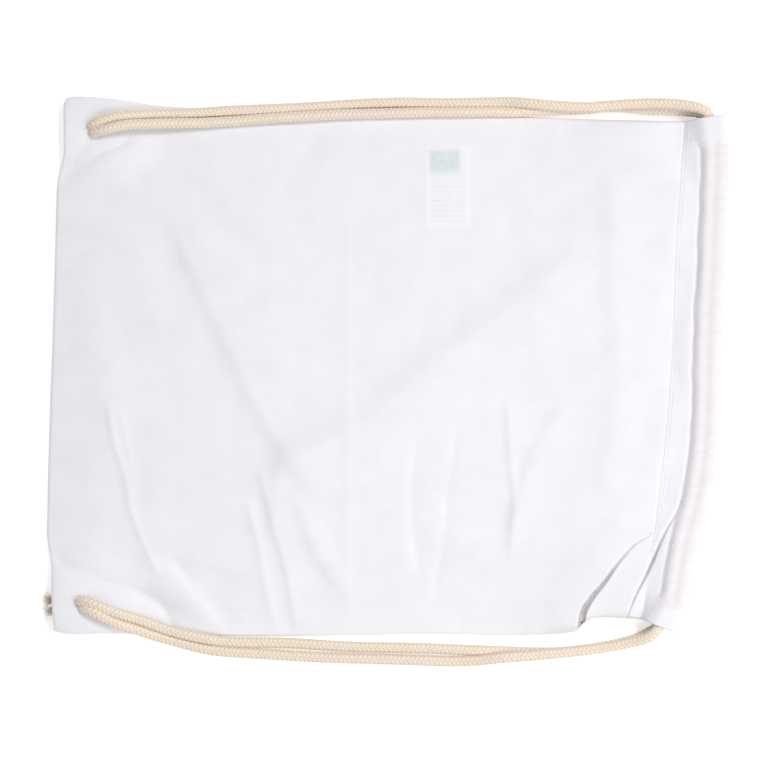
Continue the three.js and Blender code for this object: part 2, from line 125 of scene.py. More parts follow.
# Unevenness: height, lengths along X and Y, and seed
WAVES = {
    "braid drift": (0.5, 11, 1, 4.2),
    "braid twist": (0.05, 60, 1, 8.3),
    "front": (0.5, 46, 60, 3.1),
    "front, fine": (0.2, 14, 26, 7.7),
    "gathers": (0.35, 60, 6, 5.3),
    "puckers": (0.5, 7, 40, 1.9),
    "back": (0.3, 50, 60, 9.4),
    "tube end": (1.0, 16, 1, 2.2),
    "casing, fine": (0.15, 14, 6, 2.7),
    "casing": (0.4, 32, 15, 6.1),
}

# Casings, measured inwards from the edge of the mouth
OUTER_LANE = 6.0
INNER_LANE = 13.8
FRONT_CASING_HEIGHT = 19.8  # of the cords' middle
BACK_CASING_HEIGHT = 4.6
BACK_STITCH_HEIGHT = 1.6
TUBE_HALF = 4.4
TUBE_END = 19.6
TUBE_DIP = 0.5  # between the cords
TUBE_FALL = 1.1  # how late its inner side falls
END_STATIONS = (0.43, 0.46)  # from the mouth's middle to a casing's ends
END_SPREAD = 3.0  # how much wider the tube is there
HEM_DROP = [(0, 0.25, 0.45, 0.8, 1), (0.3, 0.1, -0.5, -0.7, -0.3)]  # at shares of the mouth
HEM_UNDER = 2.5
HEM_THICKNESS = 1.2
HEM_DIP = 0.5
HEM_DIP_REACH = 1.2
HEM_OVERLAP = 1.05  # of its width, so that it ends under the front
HEM_DIVE = 0.6
MOUTH_FADE = 3.0  # from a casing's edges to its whole unevenness
HEM_FADE = 8.0
RELIEF_FADE = 5.0  # from the tube's end to the front's whole relief
WARM_EDGE = (-0.3, -2.2)  # of the cords' tint, none to whole, from the tube's end
UPPER_END_HEM = 153.5  # stitch lines of the end hems, across the bag
LOWER_END_HEM = -166.7
END_HEM_SOFT = 0.4
END_HEM_RISE = 0.35
# How much of the painted-shade tint darkens the upper end hem
END_HEM_SHADE = 0.08  # of the upper one
END_ARC = [(-128.5, 17.5), (-122.5, 15.5), (-120.2, 9.5), (-120.6, 3.0)]  # across the bag, and inwards

# Thread
THREAD_RADIUS = 0.22
STITCH_PITCH = 2.7
STITCH_SHARE = 0.8  # of the pitch that the thread covers
STITCH_LIFT = 0.06
STITCH_SIDES = 6
STITCH_ROUND = (0.4, 0.95, 1.0, 0.95, 0.4)
STITCH_INSETS = (1.0, 3.4)  # of the hem's rows, from the stitch line
ROW_ENDS = (0.004, 0.996)  # of the hem's rows, as shares of the mouth
ROW_POINTS = 300
CROSS_INSET = 1.0  # of the end hems' rows, from both edges
CROSS_POINTS = 40

# What the cloth's colour shows at each point: a second layer, the cords, the label's print, and painted shade
# in deep folds and a little on the upper end hem
TINTS = ("doubled", "warm", "block", "lines", "shaded")

# Outline of the pouch and the mouth
FOLD_EDGE = [
    (-221.4, 184.8), (-223, 181.5), (-223.3, 166), (-223.4, 146), (-227.6, 127), (-229.2, 87), (-231, 25),
    (-233.2, -37), (-234.6, -92), (-234.7, -120), (-232, -135), (-231.7, -161), (-230, -182),
]
UPPER_SIDE = [
    (-221.4, 184.8), (-217.5, 185.9), (-204, 185.6), (-178, 182.9), (-157, 179.8), (-60, 176.5), (29, 174.2),
    (78, 172.8), (129, 170.8), (204.4, 169),
]
LOWER_SIDE = [
    (-230, -182), (-220, -184.4), (-200, -184), (-110, -185.9), (-33, -185.6), (27, -184.6),
    (100, -185.2), (129, -182.4), (139, -174.4), (174.8, -174),
]
STITCH_LINE = [
    (204.4, 169), (201, 128), (198.2, 87), (196.5, 39), (195, 4), (191.3, -41), (186.5, -86),
    (181, -130), (174.8, -174),
]
MOUTH_EDGE = [
    (233.2, 173.6), (234.7, 149), (234.1, 124), (231.3, 58), (229.3, 18), (228.4, -24),
    (226.5, -58), (221.9, -90), (213, -123), (206.6, -158), (203, -173.5), (198.5, -183.8),
]
HOLES = {  # with the angle and reach of the knot's tails
    "upper": {"x": -201.3, "y": 164.2, "angle": 9, "tails": [(-98, 24.0), (-76, 23.0)], "seed": 11},
    "lower": {"x": -210.4, "y": -163, "angle": -19, "tails": [(175, 26.5), (195, 26.0)], "seed": 23},
}

# Routes of the cords: both strands from the knot to a casing, and their lane through it as far as the turn
UPPER_CORD = {
    "outer": [
        (-204.4, 165, 5), (-203.2, 166.2, 11.8), (-197.6, 168.9, 15), (-188.5, 171.5, 15.6),
        (-178, 172.7, 14.8), (-164, 173.6, 11.8), (-138, 174.3, 7.6), (-105, 176.3, 6.9), (-80, 177.3, 6.2),
        (-55, 178.6, 5.2), (-22, 180.8, 3.7), (8, 181.9, 3.6), (40, 181.5, 3.6), (60, 181.8, 3.7),
        (72, 182.1, 4), (84, 182.3, 5.4), (94, 181.6, 8), (112, 179.8, 9.8), (138, 178.5, 10.2),
        (152, 179.6, 10.6), (178, 181.1, 11.8), (197.5, 180.6, 14.6), (207, 179.3, 16.8),
        (214, 177.6, 18.6), (219, 174.6, 19.6), (221.4, 169.5, 19.8), (224, 158, 19.8),
    ],
    "lane": [
        (228, 145), (228.5, 125), (225.5, 60), (223.2, 4), (221.5, -48), (214.7, -95), (205.7, -130),
        (200.2, -160), (197.1, -171),
    ],
    "inner": [
        (-202, 160.9, 5), (-202, 161.2, 12.3), (-195.5, 162.8, 16.8), (-182, 165.8, 18.2),
        (-164, 166.8, 15.6), (-145, 167.4, 12.3), (-130, 167.7, 10.2), (-102, 169.4, 8.4),
        (-80, 171.1, 8.4), (-55, 172.4, 8), (-33, 173.6, 7.1), (4, 174.6, 6.6), (29, 175.2, 6.3),
        (55, 175.4, 5.9), (72, 175.6, 5.3), (84, 175.4, 4.5), (94, 175.6, 3.6), (110, 176.2, 3.5),
        (138, 177.4, 3.5), (150, 178.6, 3.5), (163, 178.5, 3.5), (180, 177, 3.5), (197.5, 176.6, 3.7),
        (207, 175.9, 4.3), (214.3, 174.9, 4.6), (219.3, 172.6, 4.6), (221.6, 167.5, 4.6), (224, 158, 4.6),
    ],
}
LOWER_CORD = {
    "outer": [
        (-210.2, -165.8, 5), (-209.6, -166, 12.6), (-202.4, -169.2, 16.1), (-188, -176.3, 13.6),
        (-171, -181.9, 8), (-160, -185.5, 5.8), (-146, -189.6, 3.8), (-122, -195.4, 3.7),
        (-88, -198.1, 3.5), (-50, -200.4, 3.5), (11, -202.2, 3.5), (44, -203.2, 3.5), (62, -202.6, 5.8),
        (77.5, -200.8, 9.4), (100, -199, 10.4), (146, -194, 11), (169, -189.4, 15), (179, -186.5, 18.6),
        (185, -181.3, 19.8), (188.3, -173.5, 19.8),
    ],
    "lane": [
        (192.4, -162.4), (195.7, -145), (202.6, -110.5), (210.5, -75), (214.6, -40), (216, 12), (218.4, 65),
        (221.2, 115), (221.1, 136.5),
    ],
    "inner": [
        (-212.8, -161.6, 5), (-211.8, -161.4, 12.6), (-204.5, -162.8, 16.3), (-188, -169.2, 15),
        (-171, -174.6, 10.2), (-152, -181.4, 7.6), (-126, -187.7, 6.2), (-110, -189.9, 4.2),
        (-67, -190.8, 3.5), (-26, -193.2, 3.5), (27, -194.3, 3.5), (68, -196, 3.5), (117, -197, 3.5),
        (146, -193.6, 3.5), (169, -188.4, 3.7), (178, -184.4, 4.4), (185, -180, 4.6), (188.4, -172, 4.6),
    ],
}
TURN_ANGLES = (45, 90, 135)

# Pleats: narrow folds along a line, higher on its right, with widths and depths at start, middle and end
PLEATS = [
    {"rise": 3.2, "reach": 26, "widths": (0.4, 2.3, 5.4), "depths": (0.2, 3.6, 4.6),
     "line": [(179.5, -116.2), (169.2, -122.5), (158.9, -133.5), (148.5, -147.3), (139, -158),
              (132.4, -168.6), (130.6, -179.5)]},
    {"rise": 1.6, "reach": 13, "widths": (0.4, 2.0, 0.6), "depths": (0.2, 3.4, 1.2),
     "line": [(200.8, -94), (198.2, -100.2), (192.5, -109.4), (187.9, -118.4), (180.3, -135.6),
              (176.1, -145.3), (170.6, -156.3), (164.4, -172.5)]},
]

# Folds of the front: height, how far the left and the right side take to fall along the line, and the line
SOFT_FOLDS = {
    "middle fold, left arm": (2.4, 46, 8.5, [(-136, 77), (-122, 46), (-102, 4), (-88, -27), (-66, -60)]),
    "middle fold, right arm": (3.6, 42, 14.5, [(112, 59), (56, 14), (26, -9), (-4, -33), (-51, -61)]),
    "below the middle fold": (1.3, 15, 7, [(-72, -66), (-77, -104)]),
    "upper left hollow": (-1.0, 17, 12, [(-190, 112), (-165, 96), (-150, 60)]),
    "hollow left of the middle": (-1.1, 14, 12, [(-128, 118), (-112, 96), (-104, 84)]),
    "left swell": (1.2, 18, 14, [(-206, 40), (-196, -10), (-199, -60)]),
    "upper middle": (-0.9, 10, 8, [(-52, 156), (-67, 128)]),
    "lower corner, first swell": (1.7, 12, 7,
     [(-205, -127), (-188, -141), (-166, -151), (-145, -161), (-131, -172), (-122, -182)]),
    "lower corner, second swell": (1.5, 5, 11, [(-162, -135), (-145, -147), (-129, -163), (-112, -183)]),
    "lower side, curve": (1.6, 10, 6, [(-57, -103), (-49, -127), (-38, -143)]),
    "slant right of the middle": (1.2, 13, 5, [(116, -38), (102, -60), (95, -80), (90, -100)]),
    "ridge below the mouth": (2.8, 16, 9, [(157, 112), (157, 53), (162, 18), (160, -23), (155, -65)]),
    "upper right curve": (3.0, 12, 8, [(150, 160), (178, 150), (196, 128)]),
}

# Dents that cross the mouth's stitch line, with the same columns
MOUTH_FOLDS = {
    "beside the upper end": (-1.8, 7, 12, [(197, 166), (199, 152), (204, 138)]),
    "below the upper end": (0.9, 6, 9, [(203, 122), (201, 104), (198, 90)]),
    "middle": (-0.8, 6, 10, [(200, 40), (196, 20), (197, -2)]),
    "lower half": (0.8, 7, 9, [(196, -28), (191, -50), (188, -66)]),
}

# Narrow folds, drawn or pressed into the front
SHARP_FOLDS = {
    "drawn left ridge": (1.2, 3, 2.4,
     [(-191, -37), (-188, -54), (-181, -75), (-177, -99), (-170, -118), (-162, -135)]),
    "beside the drawn ridge": (0.6, 3, 3, [(-184, -36), (-178, -62), (-176, -80)]),
    "below the second swell": (-1.2, 6, 3, [(-142, -142), (-133, -156), (-119, -170), (-110, -185)]),
    "lower left step": (1.0, 9, 3.5, [(-147, -131), (-128, -135), (-102, -142)]),
    "lower side, left ridge": (1.1, 4, 4, [(-94, -104), (-88, -127), (-83, -158), (-76, -184)]),
    "lower side, right ridge": (1.4, 11, 2.8, [(-85, -85), (-78, -113), (-71, -137), (-63, -180)]),
    "pressed middle": (0.4, 4, 4, [(-28, 95), (-28, -165)]),
    "below the middle": (-1.0, 10, 3, [(18, -66), (16, -82), (16, -104), (19, -128)]),
    "below the middle, thin": (-0.7, 4, 3, [(46, -54), (41, -85), (39, -113), (33, -150)]),
    "right of the middle": (1.2, 7, 2.6, [(83, -36), (85, -73), (87, -90), (85, -118)]),
    "above the lower pleat": (1.2, 3, 6, [(184, -113), (164, -114)]),
}

# Creases round the corner holes, where the cloth is held
CORNER_FOLDS = {
    "lower corner": (-3.5, 6, 5,
     [(-234, -130), (-212, -143), (-198, -149), (-171, -157), (-157, -165), (-151, -174)]),
    "upper corner": (-4.4, 16, 6, [(-225, 130), (-202, 147), (-186, 154)]),
    "upper corner, second": (1.0, 8, 6, [(-190, 148), (-168, 155)]),
}
SOFT_POWER = 2.0
SHARP_POWER = 1.3
FOLD_STEPS = 6  # of its curve from row to row
PLEAT_STEPS = 8
FOLD_END = 7.0  # how far past its line's end a narrow fold runs out
FOLD_END_SHARE = 0.4  # of both sides, so much farther a wide one does
FOLD_REACH = 10.0  # how far the closed edges flatten the folds

# Section of a pleat: distances out and down for its margins, and shares of width and depth for its walls
PLEAT_MARGIN = np.array([(4.7, 3.6, 2.6, 1.8, 1.1, 0.55, 0.2), (0.12, -0.05, -0.06, -0.06, -0.02, 0.1, 0.3)])
PLEAT_WALL = np.array([(0.02, -0.2, -0.15, 0.35, 0.7, 1.0, 1.02), (0.16, 0.5, 0.85, 1.0, 1.0, 0.7, 0.3)])
PLEAT_SHARES = (0.0, 0.5, 1.0)  # along it, for its widths and depths
PLEAT_RISE_END = 0.5
# Painted shade on a pleat's walls grows with their depth, up to the darkest share
PLEAT_DARK = 5.0  # the depth at which the tint would be whole
PLEAT_DARKEST = 0.85
STRIP_STEP = 1.2
STRIP_STEPS = 16  # of its curve
STRIP_CUT = 1.2
STRIP_CUT_END = 0.1
STRIP_RUN_OUT = 4  # steps past both ends of a pleat's line
STRIP_END_DROP = 0.15

# The label inside, and its print, as they show through the cloth: middle, half size and soft edge
LABEL = (41.3, 123.9, 15.3, 28.3, 1.0)
LABEL_FIELD = (41.3, 123.9, 12.6, 25.6, 0.8)
LABEL_BLOCK = (39.1, 141.4, 10.3, 7.9, 1.5)
LABEL_LINES = (41.0, 112.5, 11.2, 13.5, 2.0)
LABEL_TINT = 0.35
LABEL_BORDER_TINT = 0.55
LABEL_RISE = 0.25  # of the cloth over it
LABEL_DEPTH = 1.6  # below the cloth
LABEL_THICKNESS = 0.3
LABEL_SHARES = [(0.572, 0.65, 14), (0.04, 0.21, 26)]  # of the pouch, and points

# Grids, as cells, and the shares of a casing's width at which its loop has points
FRONT_CELLS = (270, 150)
BACK_CELLS = (96, 80)
CASING_STATIONS = 260
EDGE_STEPS = (0.0, 0.25, 0.8, 1.7, 3.0)
HEM_STEPS = (HEM_OVERLAP, 0.66, 14)
TOP_STEPS = (0.645, 0.05, 34)
TOP_EDGE_STEPS = (0.03, 0.015, 0.005)
UNDER_EDGE_STEPS = (0, 0.005, 0.02)
UNDER_STEPS = (0.06, 1, 22)
LOWER_EDGE_POINTS = 400
ABOVE = 100.0  # a height over everything


# Lines and grids


def curve_through(rows, steps=24):
    """Points along a smooth line through the rows, finest where the rows are close."""
    points = np.array(rows, float)
    points = np.vstack([2 * points[0] - points[1], points, 2 * points[-1] - points[-2]])
    gaps = np.sqrt(np.linalg.norm(np.diff(points, axis=0), axis=1))[:, None, None]
    first, middle, last = gaps[:-2], gaps[1:-1], gaps[2:]
    before, start, end, after = (points[k : len(points) - 3 + k, None] for k in range(4))
    leave = (start - before) / first - (end - before) / (first + middle) + (end - start) / middle
    arrive = (end - start) / middle - (after - start) / (middle + last) + (after - end) / last
    leave, arrive = leave * middle, arrive * middle
    square = -3 * start + 3 * end - 2 * leave - arrive
    cube = 2 * start - 2 * end + leave + arrive
    share = np.linspace(0, 1, steps, endpoint=False)[:, None]
    return np.vstack([*(start + leave * share + square * share**2 + cube * share**3), points[-2:-1]])


def lengths_along(line):
    """How far along a line each of its points is."""
    return np.concatenate([[0], np.cumsum(np.linalg.norm(np.diff(line, axis=0), axis=1))])


def headings_along(line):
    """A line's direction at each of its points."""
    ways = np.gradient(line, axis=0)
    return ways / np.linalg.norm(ways, axis=1)[:, None]


def walk(line, shares):
    """The points of a line at shares of its length."""
    along = lengths_along(line)
    at = np.asarray(shares) * along[-1]
    return np.stack([np.interp(at, along, line[:, k]) for k in range(line.shape[1])], axis=-1)


def length_of(line):
    return float(lengths_along(line)[-1])


def smooth_step(value, low, high):
    share = np.clip((value - low) / (high - low), 0, 1)
    return share * share * (3 - 2 * share)


def beside_line(x, y, line):
    """How far to a line's left points are, how far past its ends, and their share along it."""
    passed = lengths_along(line)
    lengths = np.diff(passed)
    way_x, way_y = np.diff(line, axis=0).T / lengths
    off_x, off_y = x[..., None] - line[:-1, 0], y[..., None] - line[:-1, 1]
    along = np.clip(off_x * way_x + off_y * way_y, 0, lengths)
    distance = np.hypot(off_x - along * way_x, off_y - along * way_y)
    nearest = distance.argmin(axis=-1)[..., None]

    def of_nearest(values):
        return np.take_along_axis(values, nearest, -1)[..., 0]

    leftward = of_nearest(way_x * off_y - way_y * off_x)
    beyond = np.sqrt(np.clip(of_nearest(distance) ** 2 - leftward**2, 0, None))
    return leftward, beyond, of_nearest(passed[:-1] + along) / passed[-1]


def soft_edge(value, place, soft):
    """From 0 to 1 across a place, or from 1 to 0 where soft is negative."""
    return smooth_step(value, place - soft, place + soft)


def waves(kind, x, y):
    """Smooth unevenness of a kind, up to about its height."""
    height, length_x, length_y, seed = WAVES[kind]
    flat = zip((x / length_x).ravel(), (y / length_y).ravel())
    values = [noise.noise(Vector((a, b, seed))) for a, b in flat]
    return height * np.array(values).reshape(x.shape)


def grid_faces(rows, columns, is_loop=False):
    """Quads of a grid of points. In a loop the last column meets the first."""
    index = np.arange(rows * columns).reshape(rows, columns)
    following = np.roll(index, -1, axis=1)
    here, right = (index, following) if is_loop else (index[:, :-1], index[:, 1:])
    return np.stack([here[:-1], right[:-1], right[1:], here[1:]], axis=-1).reshape(-1, 4)


def add_object(name, data):
    item = bpy.data.objects.new(name, data)
    bpy.context.scene.collection.objects.link(item)
    return item


def make_piece(name, part, material, node=None, thickness=0):
    """A smooth mesh that rides on the bag, for a node if one is named. A sheet is thick inwards."""
    points, faces, values = part
    mesh = bpy.data.meshes.new(name)
    mesh.from_pydata((np.asarray(points) * MM).tolist(), [], [list(map(int, face)) for face in faces])
    mesh.polygons.foreach_set("use_smooth", [True] * len(mesh.polygons))
    for label, shares in values.items():
        layer = mesh.attributes.new(label, "FLOAT", "POINT")
        layer.data.foreach_set("value", np.asarray(shares, np.float32).ravel())
    mesh.materials.append(material)
    mesh.update()
    piece = add_object(name, mesh)
    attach(piece, BODY)
    if node:
        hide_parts(node)
    if thickness:
        solidify = piece.modifiers.new("thickness", "SOLIDIFY")
        solidify.thickness = thickness * MM
        solidify.offset = -1
    return piece


def join_parts(parts):
    """Several lists of points, faces and values at the points as one."""
    starts = np.cumsum([0] + [len(points) for points, _, _ in parts])
    faces = [[index + start for index in face] for part, start in zip(parts, starts) for face in part[1]]
    values = {name: np.concatenate([part[2][name] for part in parts]) for name in parts[0][2]}
    return np.vstack([points for points, _, _ in parts]), faces, values


# Materials


class Look:
    """A material, its nodes, and the place that its textures go by."""

    def __init__(self, name, inputs):
        self.material = bpy.data.materials.new(name)
        self.material.use_nodes = True
        self.tree = self.material.node_tree
        self.shader = self.tree.nodes["Principled BSDF"]
        self.place = self.add("ShaderNodeTexCoord").outputs["Object"]
        self.feed(self.shader, {"Sheen Roughness": 0.5, "Specular IOR Level": 0.25, **inputs})

    def feed(self, node, inputs):
        """Links each socket to another one, or sets it to a value."""
        for name, value in inputs.items():
            if isinstance(value, bpy.types.NodeSocket):
                self.tree.links.new(value, node.inputs[name])
            else:
                node.inputs[name].default_value = value

    def add(self, kind, inputs=None, **settings):
        node = self.tree.nodes.new(kind)
        for name, value in settings.items():
            setattr(node, name, value)
        self.feed(node, inputs or {})
        return node

    def math(self, operation, *values):
        return self.add("ShaderNodeMath", dict(enumerate(values)), operation=operation).outputs[0]

    def mix(self, factor, first, second):
        return self.add("ShaderNodeMix", {0: factor, 6: first, 7: second}, data_type="RGBA").outputs[2]

    def share(self, name):
        """A value that the points of a piece have."""
        return self.add("ShaderNodeAttribute", attribute_name=name).outputs["Fac"]

    def noise(self, scale, detail):
        mapping = self.add("ShaderNodeMapping", {"Vector": self.place, "Scale": scale})
        inputs = {"Vector": mapping.outputs[0], "Scale": 1.0, "Detail": detail}
        return self.add("ShaderNodeTexNoise", inputs).outputs["Fac"]

    def stripes(self, pitch, distortion, direction):
        inputs = {"Vector": self.place, "Scale": 2 * math.pi / (BAND_SCALE * pitch), "Distortion": distortion}
        settings = {"wave_type": "BANDS", "bands_direction": direction}
        return self.add("ShaderNodeTexWave", inputs, **settings).outputs["Fac"]

    def finish(self, colour, height=None, strength=0, distance=0):
        """The material with its colour, and bumps up to a distance in metres."""
        self.feed(self.shader, {"Base Color": colour})
        if height:
            inputs = {"Height": height, "Strength": strength, "Distance": distance}
            self.feed(self.shader, {"Normal": self.add("ShaderNodeBump", inputs).outputs[0]})
        return self.material


def cloth_material():
    look = Look("white_cotton_weave", {"Roughness": 0.92, "Sheen Weight": 0.12})
    slubs = look.math("ADD", look.noise((1500, 70, 70), 3), look.noise((70, 1500, 70), 3))
    cloud = look.noise((55, 55, 55), 5)
    shade = look.math("MULTIPLY_ADD", slubs, 0.25, cloud)
    colour = look.mix(shade, (0.79, 0.79, 0.84, 1), (0.885, 0.883, 0.925, 1))
    colour = look.mix(look.share("doubled"), colour, (0.905, 0.91, 0.935, 1))
    streaks = look.noise((80, 230, 80), 4)
    warm = look.mix(streaks, (0.78, 0.735, 0.765, 1), (0.88, 0.845, 0.87, 1))
    colour = look.mix(look.share("warm"), colour, warm)
    wear = look.noise((260, 190, 200), 3)
    lines = look.math("POWER", look.stripes(LINE_PITCH, 1.2, "Y"), 3.0)
    lines = look.math("MULTIPLY", lines, look.share("lines"))
    lines = look.math("MULTIPLY", lines, look.math("POWER", wear, 2.0))
    colour = look.mix(look.math("MULTIPLY", lines, 0.9), colour, (0.66, 0.75, 0.73, 1))
    block = look.math("MULTIPLY", look.share("block"), look.math("ADD", wear, 0.15))
    colour = look.mix(block, colour, (0.62, 0.72, 0.725, 1))
    # Painted shade: a dark brownish grey laid on deep fold walls, and a little on the upper end hem
    colour = look.mix(look.share("shaded"), colour, (0.56, 0.5, 0.49, 1))
    weave = look.math("MULTIPLY", *[look.stripes(WEAVE_PITCH, 0.4, way) for way in "XY"])
    return look.finish(colour, look.math("ADD", weave, slubs), 0.25, 0.00012)


def cord_material():
    look = Look("cream_cotton_braid", {"Roughness": 0.85, "Sheen Weight": 0.2})
    fibre, patch = look.noise((1700, 1700, 1700), 4), look.noise((45, 45, 45), 2)
    # The ramp paints shade into the braid: brown and dark where its relief is low, in the grooves between
    # strands, cream on the crests
    ramp = look.add("ShaderNodeValToRGB", {"Fac": look.share("crest")})
    groove, crest = ramp.color_ramp.elements
    groove.position, groove.color = 0.3, (0.55, 0.4, 0.27, 1)
    crest.position, crest.color = 0.9, (0.95, 0.84, 0.71, 1)
    colour = look.mix(look.math("MULTIPLY", fibre, 0.3), ramp.outputs[0], (0.8, 0.66, 0.5, 1))
    colour = look.mix(look.math("MULTIPLY", patch, 0.3), colour, (0.96, 0.87, 0.76, 1))
    return look.finish(colour, fibre, 0.5, 0.0003)


def label_material():
    look = Look("woven_label_tape", {"Roughness": 0.6, "Sheen Weight": 0.05})
    grain = look.noise((900, 2500, 900), 2)
    colour = look.mix(grain, (0.86, 0.87, 0.88, 1), (0.95, 0.95, 0.96, 1))
    return look.finish(look.mix(look.share("block"), colour, (0.4, 0.56, 0.5, 1)), grain, 0.3, 0.0001)


def thread_material():
    look = Look("white_sewing_thread", {"Roughness": 0.6, "Sheen Weight": 0.1})
    twist = look.noise((2500, 2500, 2500), 2)
    return look.finish(look.mix(twist, (0.9, 0.9, 0.92, 1), (0.97, 0.97, 0.98, 1)))


cloth = cloth_material()
braid = cord_material()
tape = label_material()
thread = thread_material()


# Camera, light and floor


def make_camera():
    data = bpy.data.cameras.new("camera")
    data.sensor_width = SENSOR
    data.lens = SENSOR * CAMERA_HEIGHT / FIELD
    data.clip_end = 10 * CAMERA_HEIGHT
    camera = add_object("camera", data)
    camera.location = (*VIEW_CENTRE, CAMERA_HEIGHT)
    bpy.context.scene.camera = camera


def add_light(name, place, size, power):
    data = bpy.data.lights.new(name, "AREA")
    data.shape = "DISK"
    data.size = size
    data.energy = power
    light = add_object(name, data)
    light.location = place
    light.rotation_euler = (-Vector(place)).to_track_quat("-Z", "Y").to_euler()


def make_floor():
    glow = {"Emission Color": (1, 1, 1, 1), "Emission Strength": FLOOR_GLOW}
    mesh = bpy.data.meshes.new("floor")
    corners = [(x * FLOOR_REACH, y * FLOOR_REACH, 0) for x, y in ((-1, -1), (1, -1), (1, 1), (-1, 1))]
    mesh.from_pydata(corners, [], [(0, 1, 2, 3)])
    mesh.materials.append(Look("pale_floor", {"Roughness": 0.9, **glow}).finish((0.93, 0.93, 0.93, 1)))
    add_object("floor", mesh)


def make_surroundings():
    world = bpy.data.worlds.new("studio")
    world.use_nodes = True
    background = world.node_tree.nodes["Background"].inputs
    background["Color"].default_value = (1, 1, 1, 1)
    background["Strength"].default_value = WORLD_LIGHT
    scene = bpy.context.scene
    scene.world = world
    scene.view_settings.view_transform = "Standard"
    scene.view_settings.look = "None"
    for light in LIGHTS:
        add_light(*light)
    make_floor()


make_camera()
make_surroundings()


# Cords


def braid_relief(around, along):
    """Height of the braid's strands, each over two of the other way, then under two."""
    heights = []
    for lift, turn in ((STRAND_LIFT, 1), (-STRAND_LIFT, -1)):
        place = STRANDS * around + turn * along / BRAID_PITCH
        crossing = STRANDS * around - turn * along / BRAID_PITCH
        row = np.floor(place)
        roundness = np.sqrt(np.clip(1 - (2 * (place - row) - 1) ** 2, 0, 1))
        heights.append(lift * np.sin(math.pi / 2 * (crossing + row)) + STRAND_ROUND * roundness)
    return np.maximum(*heights)


def frames_along(line):
    """Two directions across a line at each of its points, turning as little as they can."""
    tangents = headings_along(line)
    across = np.cross(tangents[0], (0, 0, 1) if abs(tangents[0][2]) < STEEP else (1, 0, 0))
    sides = []
    for tangent in tangents:
        across = across - tangent * (across @ tangent)
        across = across / np.linalg.norm(across)
        sides.append(across)
    sides = np.array(sides)
    return sides, np.cross(tangents, sides)


def tube(line, distance, count):
    """Points and faces of a closed tube with so many sides, at distances from a line."""
    sides, ups = frames_along(line)
    angle = 2 * math.pi * np.arange(count) / count
    sideways, upwards = (distance * np.cos(angle))[..., None], (distance * np.sin(angle))[..., None]
    points = line[:, None] + sideways * sides[:, None] + upwards * ups[:, None]
    faces = grid_faces(len(line), count, is_loop=True).tolist()
    last = (len(line) - 1) * count
    return points.reshape(-1, 3), [*faces, [*range(count)][::-1], [*range(last, last + count)]]


def braided_tube(line, radius):
    """Points, faces and crests of a braided tube along a line."""
    count = max(FEWEST_STEPS, int(length_of(line) / CORD_STEP))
    line = walk(line, np.linspace(0, 1, count))
    along = np.linspace(0, length_of(line), count)[:, None]
    around = np.arange(CORD_SIDES) / CORD_SIDES
    drift, twist = waves("braid drift", along, 0 * along), waves("braid twist", along, 0 * along)
    relief = braid_relief(around + twist, along + drift)
    highest = STRAND_LIFT + STRAND_ROUND
    points, faces = tube(line, radius - STRAND_SINK * highest + relief, CORD_SIDES)
    # crest is the share of the relief, which the braid's material turns into painted shade in the grooves
    return points, faces, {"crest": np.clip(relief / highest, 0, 1).ravel()}


def cord_line(route):
    """A cord: one strand, the front casing, a half circle down, the back casing, the other strand."""
    lane = np.array(route["lane"], float)
    heading = headings_along(lane)[-1]
    radius = (FRONT_CASING_HEIGHT - BACK_CASING_HEIGHT) / 2
    turn = []
    for angle in np.radians(TURN_ANGLES):
        place = lane[-1] + heading * radius * math.sin(angle)
        turn.append((*place, BACK_CASING_HEIGHT + radius * (1 + math.cos(angle))))
    front_lane = [(x, y, FRONT_CASING_HEIGHT) for x, y in lane]
    back_lane = [(x, y, BACK_CASING_HEIGHT) for x, y in lane[::-1]]
    return curve_through([*route["outer"], *front_lane, *turn, *back_lane, *route["inner"][::-1]])


def fibre_tuft(tip, heading, seed):
    """Loose fibres that spread from the cut end of a cord."""
    draw = np.random.default_rng(seed)
    across, up = np.array([-heading[1], heading[0], 0]), np.array([0, 0, 1.0])
    shares = np.linspace(0, 1, FIBRE["points"])[:, None]
    parts = []
    for _ in range(FIBRE["count"]):
        angle, share = draw.uniform(0, 2 * math.pi), math.sqrt(draw.uniform(0, 1))
        start = tip + TUFT_RADIUS * share * (math.cos(angle) * across + math.sin(angle) * up)
        sideways, upwards = draw.normal(0, FIBRE["spread"], 2)
        way = heading + sideways * across + upwards * FIBRE["flatness"] * up
        bend = draw.normal(0, FIBRE["bend"], 3)
        length = TUFT_REACH * draw.uniform(*FIBRE["lengths"])
        line = start - heading + way * length * shares + bend * shares**2
        line[:, 2] = np.maximum(line[:, 2], FIBRE["lowest"])
        points, faces = tube(line, FIBRE["radius"] * (FIBRE["root"] - shares), FIBRE["sides"])
        parts.append((points, faces, {"crest": np.full(len(points), draw.uniform(*FIBRE["crests"]))}))
    return parts


def make_knot(side, hole):
    """A knot drawn tight under the corner, with both cut ends beside it."""
    turns = np.linspace(0, 2 * math.pi, KNOT_POINTS)
    line = np.stack([
        hole["x"] + KNOT_SPREAD * (np.sin(turns) + 2 * np.sin(2 * turns)) / 3,
        hole["y"] + KNOT_SPREAD * (np.cos(turns) - 2 * np.cos(2 * turns)) / 3,
        KNOT_HEIGHT - KNOT_LIFT * np.sin(3 * turns),
    ], axis=1)
    parts = [braided_tube(line, KNOT_RADIUS)]
    middle = np.array([hole["x"], hole["y"], TAIL_HEIGHT])
    for index, (degrees, reach) in enumerate(hole["tails"]):
        angle = math.radians(degrees)
        heading = np.array([math.cos(angle), math.sin(angle), 0])
        tip = middle + heading * (reach - TUFT_OVERHANG)
        parts.append(braided_tube(np.linspace(middle + heading * TAIL_START, tip, TAIL_POINTS), TAIL_RADIUS))
        parts.extend(fibre_tuft(tip, heading, hole["seed"] + index))
    return make_piece(f"{side}_knot_tied", join_parts(parts), braid, f"{side}_knot")


